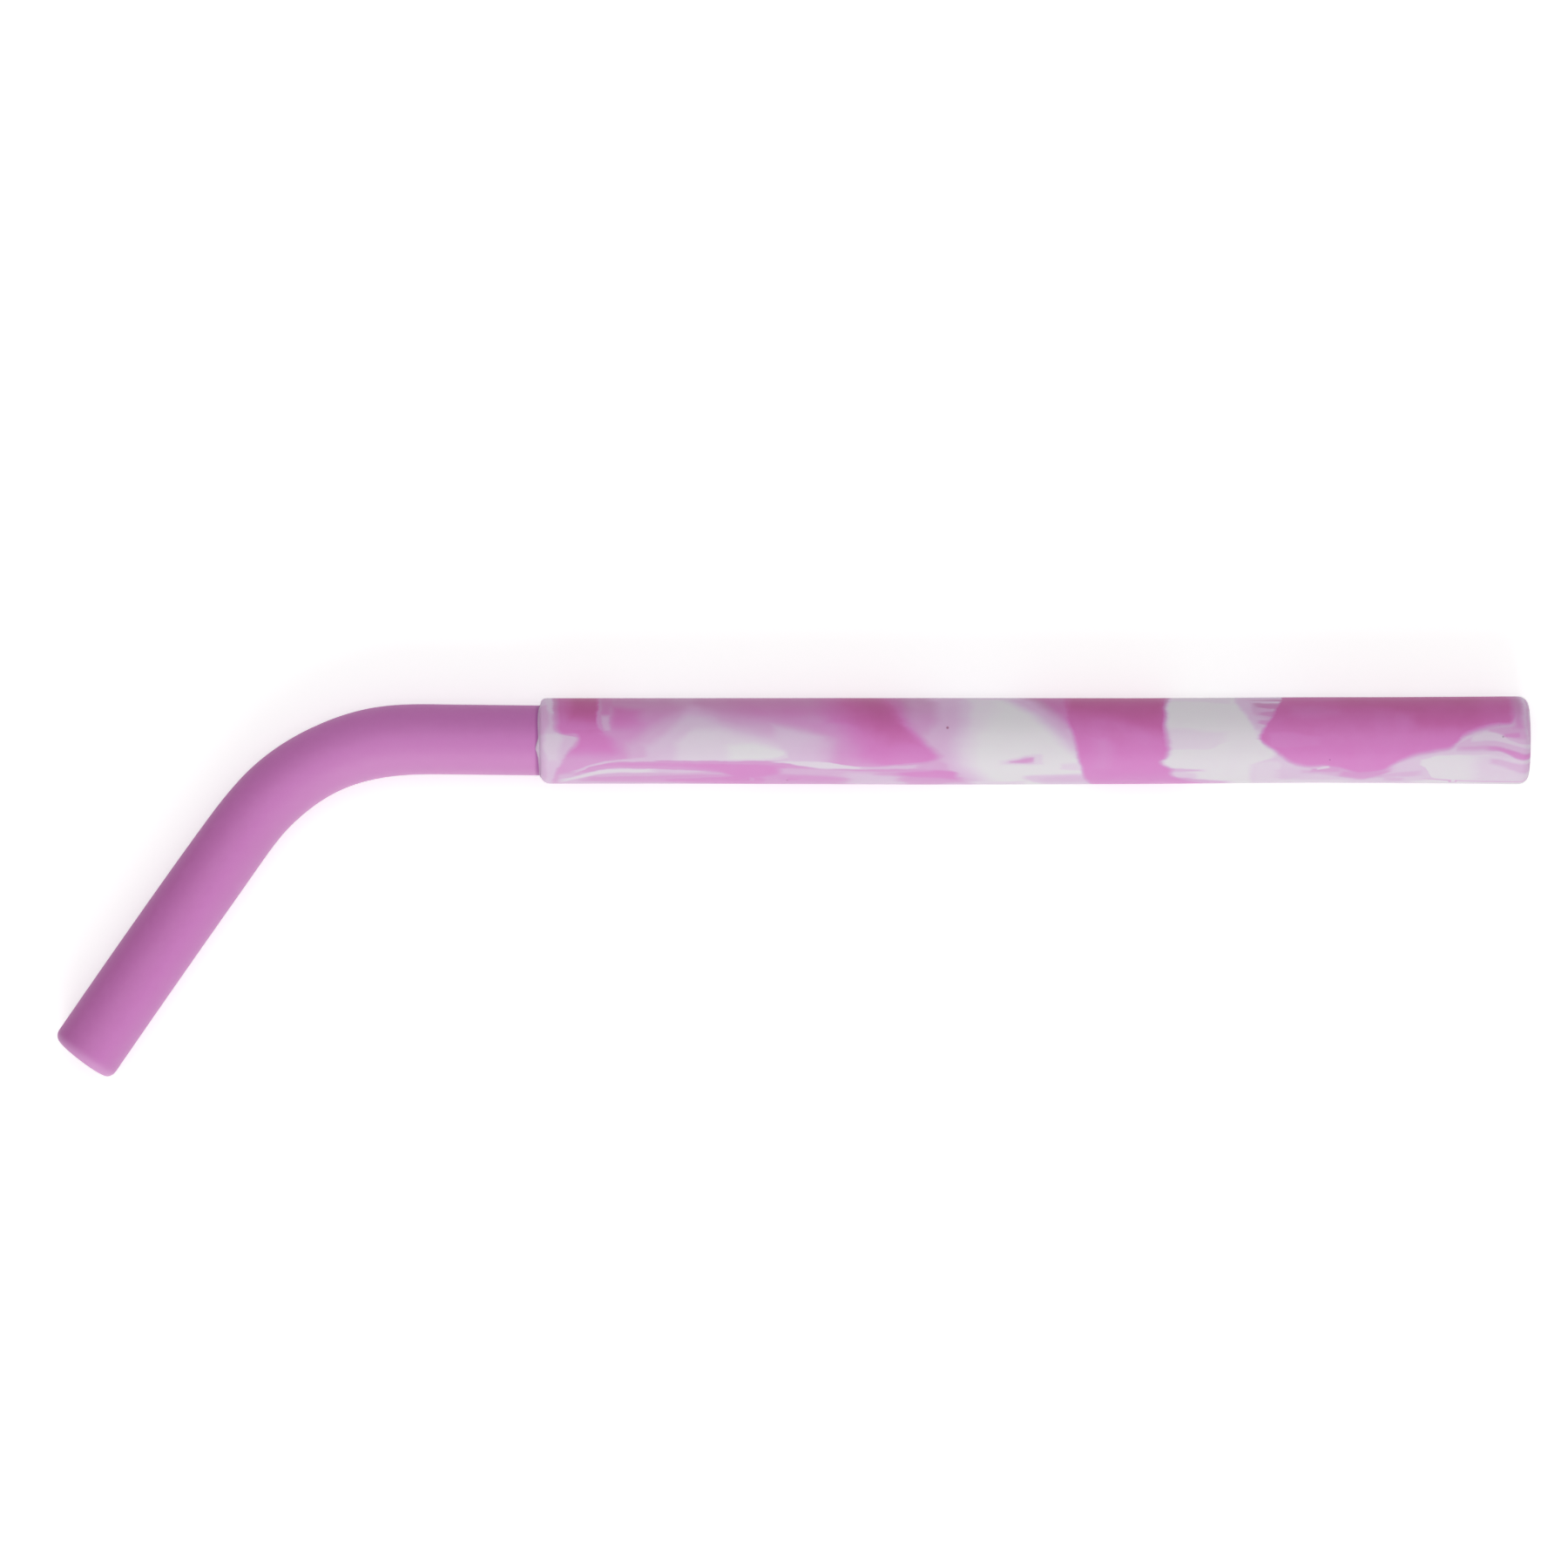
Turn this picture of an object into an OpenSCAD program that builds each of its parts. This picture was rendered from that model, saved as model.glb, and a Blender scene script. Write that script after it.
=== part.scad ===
// Bent drinking straw of soft silicone, lying on its side. A plain tube with one bend has
// a thicker marbled sleeve moulded over its straight end, and both share one bore.

/* [Tube] */
// Outer diameter of the plain tube
tube_od = 10.1; // [9:0.1:13]
// Wall thickness of the plain tube
tube_wall = 1.5; // [1.3:0.1:2.5]
// Length of straight tube that shows between the sleeve and the bend
neck_length = 17.6; // [8:0.1:60]

/* [Bend] */
// Radius of the bend, measured to the middle of the tube
bend_radius = 30.6; // [15:0.1:60]
// Angle that the bend turns the mouth end through
bend_angle = 54.9; // [20:0.1:85]
// How much slimmer the tube is around the bend, on its radius, where it was stretched
bend_slimming = 0.1; // [0.05:0.01:0.3]
// Length over which each straight end slims down to the bend
taper_length = 4; // [1:0.5:7]

/* [Mouth end] */
// Length of straight tube from the end of the bend to the mouth
mouth_length = 40.1; // [20:0.1:90]
// Rounding of the mouth's outer edge
mouth_round = 1; // [0.3:0.05:1]
// Rounding of the mouth's inner edge
mouth_inner_round = 0.25; // [0.1:0.05:0.3]

/* [Sleeve] */
// Length of the marbled sleeve
sleeve_length = 141.7; // [60:0.1:220]
// Thickness of the sleeve where it covers the tube
sleeve_cover = 1.1; // [1:0.1:3]
// Length of tube that is moulded into the sleeve's upper end
socket_depth = 22; // [8:0.5:50]
// Rounding of the sleeve's upper end, around the tube
upper_round = 0.9; // [0.2:0.05:1]
// Rounding of the sleeve's open lower end, outside
lower_round = 1.5; // [0.3:0.05:1.8]
// Rounding of the sleeve's open lower end, inside
lower_inner_round = 0.5; // [0.1:0.05:0.8]

/* [Hidden] */
$fn = 96;

tube_r = tube_od / 2;
bore_r = tube_r - tube_wall;
sleeve_r = tube_r + sleeve_cover;
bend_tube_r = tube_r - bend_slimming;

// The straight ends reach this far into the bend, and their skins stand this much proud
// of it there, so that the walls cross cleanly and join as one solid
joint_lap = 0.15;
joint_step = 0.03;

// The middle of the mouth's rounding, measured back from the sleeve's upper end
// and sideways from the sleeve's axis, in the plane of the bend
lip_run = mouth_length - mouth_round;
lip_back = neck_length + bend_radius * sin(bend_angle) + lip_run * cos(bend_angle);
lip_side = bend_radius * (1 - cos(bend_angle)) + lip_run * sin(bend_angle);

// The sleeve is thicker than the tube, so the straw rolls until the mouth meets the surface
roll = asin(sleeve_cover / lip_side);

// The straw's extent along X and Y before it is centred on the origin
lip_ring_r = tube_r - mouth_round;
lip_across = sin(bend_angle) * cos(roll);
low_x = -lip_back - lip_ring_r * sin(bend_angle) - mouth_round;
high_x = sleeve_length;
low_y = -lip_side * cos(roll) - lip_ring_r * sqrt(1 - pow(lip_across, 2)) - mouth_round;
high_y = sleeve_r;

// Corner that a rounding takes off a square edge, with the edge at the origin
// and the solid towards -X and -Y
module edge_waste(radius) {
    difference() {
        translate([-radius, -radius]) square(2 * radius);
        translate([-radius, -radius]) circle(radius);
    }
}

// Section of a straight end's wall, from its slimmed start in the bend
module wall_section(length) {
    polygon([
        [bore_r, -joint_lap],
        [bend_tube_r + joint_step, -joint_lap],
        [tube_r, taper_length],
        [tube_r, length],
        [bore_r, length]
    ]);
}

// Straight end along +X from the bend, running on into the sleeve
module neck_tube() {
    rotate([0, 90, 0]) rotate_extrude() wall_section(neck_length + socket_depth);
}

// Curved tube around the origin, from +X towards +Y
module curved_tube() {
    rotate_extrude(angle = bend_angle)
        translate([bend_radius, 0])
            difference() {
                circle(bend_tube_r);
                circle(bore_r + joint_step);
            }
}

// Straight end along +X from the bend, with the rounded mouth
module mouth_tube() {
    rotate([0, 90, 0]) rotate_extrude() difference() {
        wall_section(mouth_length);
        translate([tube_r, mouth_length]) edge_waste(mouth_round);
        translate([bore_r, mouth_length]) mirror([1, 0]) edge_waste(mouth_inner_round);
    }
}

// Moves a piece from the sleeve's own axis, where the sleeve's upper end is at zero,
// to where the straw lies with its middle over the origin
module as_it_lies() {
    translate([-(low_x + high_x) / 2, -(low_y + high_y) / 2, sleeve_r])
        rotate([roll, 0, 0])
            children();
}

// Plain tube: the end inside the sleeve with the neck, the bend, and the mouth end
module bent_tube() {
    color([0.76, 0.45, 0.70]) as_it_lies() {
        translate([-neck_length, 0, 0]) neck_tube();
        translate([-neck_length, -bend_radius, 0]) rotate([0, 0, 90]) {
            curved_tube();
            rotate([0, 0, bend_angle]) translate([bend_radius, 0, 0]) rotate([0, 0, 90]) mouth_tube();
        }
    }
}

// Marbled sleeve: one moulding with a socket around the tube's end and the tube's own
// bore below it
module marbled_sleeve() {
    color([0.84, 0.70, 0.82]) as_it_lies()
        rotate([0, 90, 0]) rotate_extrude() difference() {
            translate([bore_r, 0]) square([sleeve_r - bore_r, sleeve_length]);
            translate([bore_r, 0]) square([tube_wall, socket_depth]);
            translate([sleeve_r, 0]) mirror([0, 1]) edge_waste(upper_round);
            translate([sleeve_r, sleeve_length]) edge_waste(lower_round);
            translate([bore_r, sleeve_length]) mirror([1, 0]) edge_waste(lower_inner_round);
        }
}

bent_tube();
marbled_sleeve();
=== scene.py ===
import math
import bpy
import numpy as np
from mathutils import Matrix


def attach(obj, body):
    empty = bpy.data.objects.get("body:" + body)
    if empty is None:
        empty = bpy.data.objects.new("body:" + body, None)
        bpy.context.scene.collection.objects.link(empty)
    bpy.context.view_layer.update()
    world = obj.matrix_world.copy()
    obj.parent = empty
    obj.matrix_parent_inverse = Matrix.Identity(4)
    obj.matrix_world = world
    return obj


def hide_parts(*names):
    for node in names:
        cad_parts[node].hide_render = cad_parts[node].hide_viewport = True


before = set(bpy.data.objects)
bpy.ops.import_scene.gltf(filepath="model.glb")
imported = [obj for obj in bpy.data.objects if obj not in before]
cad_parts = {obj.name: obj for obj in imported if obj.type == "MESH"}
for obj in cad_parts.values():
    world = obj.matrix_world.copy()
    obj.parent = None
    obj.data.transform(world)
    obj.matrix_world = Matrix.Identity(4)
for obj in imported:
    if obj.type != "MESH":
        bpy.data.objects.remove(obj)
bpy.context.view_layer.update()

# Where the straw is looked at from: straight down, from so far that its ends hardly lean,
# with 226 mm of the table across the square picture.
look = bpy.data.cameras.new("overhead")
look.lens, look.sensor_width = 224.0, 36.0
overhead = bpy.data.objects.new("overhead", look)
overhead.location = (-0.0012, 0.0149, 1.406)
bpy.context.scene.collection.objects.link(overhead)
bpy.context.scene.camera = overhead

# Plain tube: orchid silicone, extruded with its bore and bent once while warm. The bend is a
# little slimmer where its skin was stretched, and the mouth is cut a few degrees off square and
# rounded. Its straight end is moulded into the sleeve.

# Middle of the sleeve's upper end face, in mm, from which every run is measured
END_FACE = np.array([-36.134, 21.081, 6.15])
# Run of the mouth, and length of the straight end inside the sleeve
MOUTH_AT = 87.3
SOCKET = 22.0
TUBE_RADIUS = 5.05
BORE_RADIUS = 3.55
# The sleeve is thicker than the tube, so the straw rolls until its mouth meets the table too
ROLL = math.radians(1.401)


def middle_line(run):
    """The tube's middle line at each run in mm from the sleeve's end face, and its heading. The
    tube leaves the sleeve 0.65 degrees askew. The heading then turns by 55.1 degrees over the
    bend, easing in and out, and drifts 1.16 degrees more over 40 mm of the straight run to the
    mouth. The place is the running sum of the heading."""
    bend_from, bend_to, easing = 13.75, 50.5, 8.64
    aside_at_face = 0.06
    fine = np.linspace(-SOCKET, 92.0, 8001)
    ease = np.clip((fine - bend_from) / easing, 0, 1) * np.clip((bend_to - fine) / easing, 0, 1)
    turned = np.cumsum(ease) / ease.sum()
    drift = np.clip((fine - bend_to) / 40, 0, 1)
    heading = np.radians(-0.65 * (fine > 0) + 55.1 * turned + 1.16 * drift)
    step = fine[1] - fine[0]
    along = -np.cumsum(np.cos(heading)) * step
    side = -np.cumsum(np.sin(heading)) * step
    along -= np.interp(0.0, fine, along)
    side -= np.interp(0.0, fine, side) - aside_at_face
    return (np.interp(run, fine, along), np.interp(run, fine, side), np.interp(run, fine, heading))


def lying(along, side, up):
    """Points of the straw's own plane, in mm, turned by its small roll and put where it lies,
    in metres: side and up turn about the sleeve's axis."""
    y = side * math.cos(ROLL) - up * math.sin(ROLL)
    z = side * math.sin(ROLL) + up * math.cos(ROLL)
    return (np.stack([along, y, z], -1) + END_FACE) / 1000


def closed_skin(name, points):
    """A mesh through a grid of points that closes on itself both ways: every four neighbours make
    a face, so a tube's outside, rim and bore are one skin with no seam."""
    rows, columns = points.shape[:2]
    i, j = np.meshgrid(np.arange(rows), np.arange(columns), indexing="ij")
    n, m = (i + 1) % rows, (j + 1) % columns
    faces = np.stack([i * columns + j, n * columns + j, n * columns + m, i * columns + m], -1)
    mesh = bpy.data.meshes.new(name)
    mesh.vertices.add(rows * columns)
    mesh.vertices.foreach_set("co", points.reshape(-1).astype(np.float32))
    mesh.loops.add(faces.size)
    mesh.loops.foreach_set("vertex_index", faces.reshape(-1).astype(np.int32))
    mesh.polygons.add(rows * columns)
    mesh.polygons.foreach_set("loop_start", np.arange(0, faces.size, 4, dtype=np.int32))
    mesh.update(calc_edges=True)
    mesh.validate()
    mesh.shade_smooth()
    piece = bpy.data.objects.new(name, mesh)
    bpy.context.scene.collection.objects.link(piece)
    return piece


def tube_skin():
    """A circle carried along the middle line: out to the mouth at the outer radius, over the
    lip as quarter ellipses, back through the bore, and across the hidden end. Over the last 6 mm
    the circles slant more and more, which puts the mouth off square. With the points come how far
    each lies to the far side, from -1 to 1, and how near it is to the lip, from 0 to 1."""
    lip_along, lip_down, inner_lip = 1.4, 1.1, 0.35
    outer_run = np.concatenate([np.linspace(-SOCKET, -1, 22),
                                np.linspace(-0.5, MOUTH_AT - lip_along, 230)])
    outer = np.interp(outer_run,
                      [-1, 14, 20.5, 24, 27, 30.4, 33.6, 37, 40.2, 43.5, 47, 50.5, 54, 58, 66, 73, 82],
                      [5.03, 5.03, 5.08, 5.08, 5.02, 4.95, 4.95, 4.98, 4.98, 4.93, 4.95, 4.98,
                       5.01, 5.03, 5.04, 5.05, 5.05])
    turn = np.linspace(0, math.pi / 2, 14)[1:]
    lip_run = MOUTH_AT - lip_along + lip_along * np.sin(turn)
    lip_radius = TUBE_RADIUS - lip_down + lip_down * np.cos(turn)
    inner_turn = np.linspace(0, math.pi / 2, 8)
    inner_run = MOUTH_AT - inner_lip + inner_lip * np.cos(inner_turn)
    inner_radius = BORE_RADIUS + inner_lip - inner_lip * np.sin(inner_turn)
    bore_run = np.linspace(MOUTH_AT - 1.0, -SOCKET, 120)
    run = np.concatenate([outer_run, lip_run, inner_run, bore_run])
    radius = np.concatenate([outer, lip_radius, inner_radius, np.full(len(bore_run), BORE_RADIUS)])
    around = np.linspace(0, 2 * math.pi, 128, endpoint=False)
    run, around = np.meshgrid(run, around, indexing="ij")
    radius = np.broadcast_to(radius[:, None], run.shape)
    out = radius * np.cos(around)
    slant = np.clip((run - MOUTH_AT + 6) / 6, 0, 1) ** 2
    run = run + slant * (-0.051 * out - 0.005 * out ** 2)
    along, side, heading = middle_line(run)
    points = lying(along - out * np.sin(heading), side + out * np.cos(heading), radius * np.sin(around))
    return points, np.cos(around), np.clip((run - MOUTH_AT + 1.9) / 1.7, 0, 1)


class Shade:
    """A value in a material, worked out point by point on the skin. Sums and products of shades
    and plain numbers add the Math nodes that give them."""

    def __init__(self, tree, socket=None):
        self.tree, self.socket = tree, socket

    def node(self, kind, settings, inputs, output=0):
        """Any node: its settings first, a ramp's stops and a node's curves among them, and then
        the numbers or shades on its sockets."""
        made = self.tree.nodes.new(kind)
        for name, value in settings.items():
            if name == "stops":
                ramp = made.color_ramp
                while len(ramp.elements) < len(value):
                    ramp.elements.new(0.5)
                for element, (place, colour) in zip(ramp.elements, value):
                    element.position, element.color = place, (*colour, 1)
            elif name == "curves":
                made.mapping.use_clip = False
                made.mapping.extend = "HORIZONTAL"
                for curve, points in zip(made.mapping.curves, value):
                    curve.points[0].location, curve.points[1].location = points[0], points[-1]
                    for point in points[1:-1]:
                        curve.points.new(*point)
                    for point in curve.points:
                        point.handle_type = "AUTO_CLAMPED"
                made.mapping.update()
            else:
                setattr(made, name, value)
        for name, value in inputs.items():
            if isinstance(value, Shade):
                self.tree.links.new(value.socket, made.inputs[name])
            else:
                made.inputs[name].default_value = value
        return Shade(self.tree, made.outputs[output])

    def math(self, operation, *values):
        return self.node("ShaderNodeMath", {"operation": operation}, dict(enumerate(values)))

    def __add__(self, other):
        return self.math("ADD", self, other)

    def __radd__(self, other):
        return self.math("ADD", other, self)

    def __sub__(self, other):
        return self.math("SUBTRACT", self, other)

    def __rsub__(self, other):
        return self.math("SUBTRACT", other, self)

    def __mul__(self, other):
        return self.math("MULTIPLY", self, other)

    def __rmul__(self, other):
        return self.math("MULTIPLY", other, self)

    def vector(self, operation, other, output=0):
        return self.node("ShaderNodeVectorMath", {"operation": operation}, {0: self, 1: other}, output)

    def parts(self):
        """The three numbers that a place or a direction is made of, each as a product with its
        own axis: Cycles runs out of room with a hundred Separate XYZ nodes in one material."""
        return [self.vector("DOT_PRODUCT", axis, "Value") for axis in ((1, 0, 0), (0, 1, 0), (0, 0, 1))]

    def soft(self, low=0.0, high=1.0):
        """0 below low, 1 above high, and a smooth step between them."""
        return self.node("ShaderNodeMapRange", {"interpolation_type": "SMOOTHSTEP"},
                         {"Value": self, "From Min": low, "From Max": high})

    def cloud(self, scale, detail, roughness):
        """Smooth noise of that many lumps a metre, over the places that this shade holds."""
        return self.node("ShaderNodeTexNoise", {},
                         {"Vector": self, "Scale": scale, "Detail": detail, "Roughness": roughness})

    def mixed(self, amount, colour, blend="MIX"):
        """This colour with another mixed in, by an amount that may vary over the skin."""
        return self.node("ShaderNodeMix", {"data_type": "RGBA", "blend_type": blend},
                         {0: amount, 6: self, 7: (*colour, 1)}, 2)


def silicone(piece, name):
    """Puts matte moulded silicone on a piece and returns its shader node and its Object places:
    light sinks a little way in, and the skin has the fine satin grain of the mould."""
    material = bpy.data.materials.new(name)
    material.use_nodes = True
    tree = material.node_tree
    shader = tree.nodes["Principled BSDF"]
    shader.inputs["Subsurface Weight"].default_value = 0.3
    shader.inputs["Subsurface Radius"].default_value = (1.0, 0.7, 0.9)
    shader.inputs["Subsurface Scale"].default_value = 0.001
    shader.inputs["Roughness"].default_value = 0.42
    shader.inputs["IOR"].default_value = 1.41
    shader.inputs["Specular IOR Level"].default_value = 0.2
    place = Shade(tree).node("ShaderNodeTexCoord", {}, {}, "Object")
    grain = place.cloud(9000.0, 3.0, 0.6)
    bump = grain.node("ShaderNodeBump", {}, {"Strength": 0.12, "Distance": 0.00004, "Height": grain})
    tree.links.new(bump.socket, shader.inputs["Normal"])
    piece.data.materials.append(material)
    return shader, place


def specked(colour, place, specks):
    """A colour with small round specks of dust pressed into the skin. Each is the mm along from
    the sleeve's end face, the mm aside, the mm up, how many mm wide, and its own colour, which
    is full over a fifth of that width out from the middle and gone at seven tenths of it."""
    for along, aside, up, wide, tint in specks:
        middle = tuple((END_FACE + (along, aside, up)) / 1000)
        gap = place.vector("DISTANCE", middle, "Value")
        colour = colour.mixed(1 - gap.soft(wide * 0.0002, wide * 0.0007), tint)
    return colour


tube_points, far_side, near_lip = tube_skin()
plain_tube = closed_skin("plain_tube", tube_points)
for name, values in (("far_side", far_side), ("lip", near_lip)):
    held = plain_tube.data.attributes.new(name, "FLOAT", "POINT")
    held.data.foreach_set("value", values.reshape(-1).astype(np.float32))

# The orchid is painted deeper on the far side, as painted shade, and is deeper towards the mouth and
# slightly clouded. Its lip is painted paler, as painted light, and the crease where the tube meets the
# sleeve is painted dark, as painted shade.
shader, place = silicone(plain_tube, "orchid_silicone")
far = place.node("ShaderNodeAttribute", {"attribute_name": "far_side"}, {}, "Fac")
lip = place.node("ShaderNodeAttribute", {"attribute_name": "lip"}, {}, "Fac")
past_face = place.parts()[0] * 1000 - END_FACE[0]
clouds = (place.cloud(700.0, 3.0, 0.6) - 0.5) * 0.12
# far * 0.43 is painted shade: the orchid is darker on the side turned away from the lamps
deep = far * 0.43 + 0.5 + clouds + (1 - past_face.soft(-55.0, -25.0)) * 0.2
orchid = deep.node("ShaderNodeValToRGB",
                   {"stops": [(0.07, (0.64, 0.29, 0.58)), (0.5, (0.62, 0.228, 0.56)),
                              (0.93, (0.525, 0.165, 0.45)), (1.0, (0.50, 0.15, 0.42))]},
                   {"Fac": deep})
# painted light: the rounded lip at the mouth is painted paler
lip_lit = orchid.mixed(lip.soft() * 0.8, (0.66, 0.34, 0.62))
# painted shade: a dark ring in the crease where the tube goes into the sleeve
crease_shaded = lip_lit.mixed(past_face.soft(-0.85, -0.35) * 0.75, (0.36, 0.09, 0.33))
dusty = specked(crease_shaded, place, [(-65.1, -43.1, 4.9, 0.3, (0.36, 0.09, 0.28)),
                                 (-64.8, -43.3, 4.9, 0.25, (0.36, 0.09, 0.28))])
shader.id_data.links.new(dusty.socket, shader.inputs["Base Color"])
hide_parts("bent_tube")
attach(plain_tube, "root")

# Marbled sleeve: pink and white silicone, half mixed and moulded over the tube's straight end,
# with the bore running on through it. It is a little thicker towards its rounded lower end, and
# at its upper end a thin ragged film of it has crept over the tube.
SLEEVE_LENGTH = 141.7
SLEEVE_RADIUS = 6.14
# How far the film has crept: degrees round the sleeve, and mm out from its end face
FILM_EDGE = [(-180, 0.2), (-110, 0.3), (-79, 0.04), (-60, 0.2), (-50, 0.28), (-32, 0.31), (-6, 0.18),
             (3, 0.45), (12, 0.62), (18, 0.42), (27, 0.25), (43, 0.14), (62, 0.11), (84, 0.02),
             (120, 0.25), (150, 0.1), (180, 0.2)]


def sleeve_skin():
    """A circle carried along the sleeve's axis: out along the skin, over the lower rim as a
    quarter circle, back through the bore and the socket, and round the film and the upper rim.
    The radius follows the swell, and the axis lifts with it so that the underside stays on the
    table. The axis also wanders aside by up to a seventh of a mm."""
    swell_at = [0, 20, 42, 54, 72, 85, 97, 110, 122, 132, 138, 142]
    swell = [6.14, 6.14, 6.19, 6.215, 6.2, 6.17, 6.14, 6.14, 6.165, 6.24, 6.29, 6.31]
    aside = [0.0, 0.0, -0.03, -0.06, -0.05, -0.03, 0.05, 0.14, 0.13, 0.11, 0.1, 0.09]
    lower_round, inner_round, socket_radius = 1.5, 0.5, 5.0
    around = np.linspace(-math.pi, math.pi, 160, endpoint=False)
    turn = np.linspace(0, math.pi / 2, 13)
    straight = np.linspace(1.5, SLEEVE_LENGTH - lower_round, 330)
    run = np.concatenate([straight, SLEEVE_LENGTH - lower_round + lower_round * np.sin(turn[1:])])
    sunk = np.concatenate([0 * straight, -lower_round + lower_round * np.cos(turn[1:])])
    radius = np.interp(run, swell_at, swell) + sunk

    inner_turn = turn[::-1][1:]
    bore_run = np.concatenate([SLEEVE_LENGTH - inner_round + inner_round * np.sin(inner_turn),
                               np.linspace(SLEEVE_LENGTH - 1.5, SOCKET + 0.1, 70),
                               [SOCKET + 0.1, SOCKET + 0.1], np.linspace(SOCKET - 1, 1.0, 12)])
    bore_radius = np.concatenate([BORE_RADIUS + inner_round - inner_round * np.cos(inner_turn),
                                  np.full(71, BORE_RADIUS), np.full(13, socket_radius)])

    film = np.interp(np.degrees(around), [p[0] for p in FILM_EDGE], [p[1] for p in FILM_EDGE])
    film_run = np.stack([0.3 - 0 * film, -0.5 * film, -film, -film - 0.02,
                         -0.6 * film, -0.2 * film, 0 * film])
    film_radius = np.array([5.0, 5.02, 5.06, 5.1, 5.15, 5.22, 5.35])
    corner = 1.12 + 0.28 * np.sin(around)
    rim_turn = turn[::-1, None]
    rim_run = corner * (1 - np.sin(rim_turn))
    rim_radius = SLEEVE_RADIUS - 0.92 * corner * (1 - np.cos(rim_turn))

    wide = np.ones(len(around))
    runs = np.concatenate([run[:, None] * wide, bore_run[:, None] * wide, film_run, rim_run])
    radii = np.concatenate([radius[:, None] * wide, bore_radius[:, None] * wide,
                            film_radius[:, None] * wide, rim_radius])
    shift = np.interp(runs, swell_at, aside)
    lift = np.interp(runs, swell_at, swell) - SLEEVE_RADIUS
    return lying(runs, shift - radii * np.sin(around), lift + radii * np.cos(around))


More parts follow.
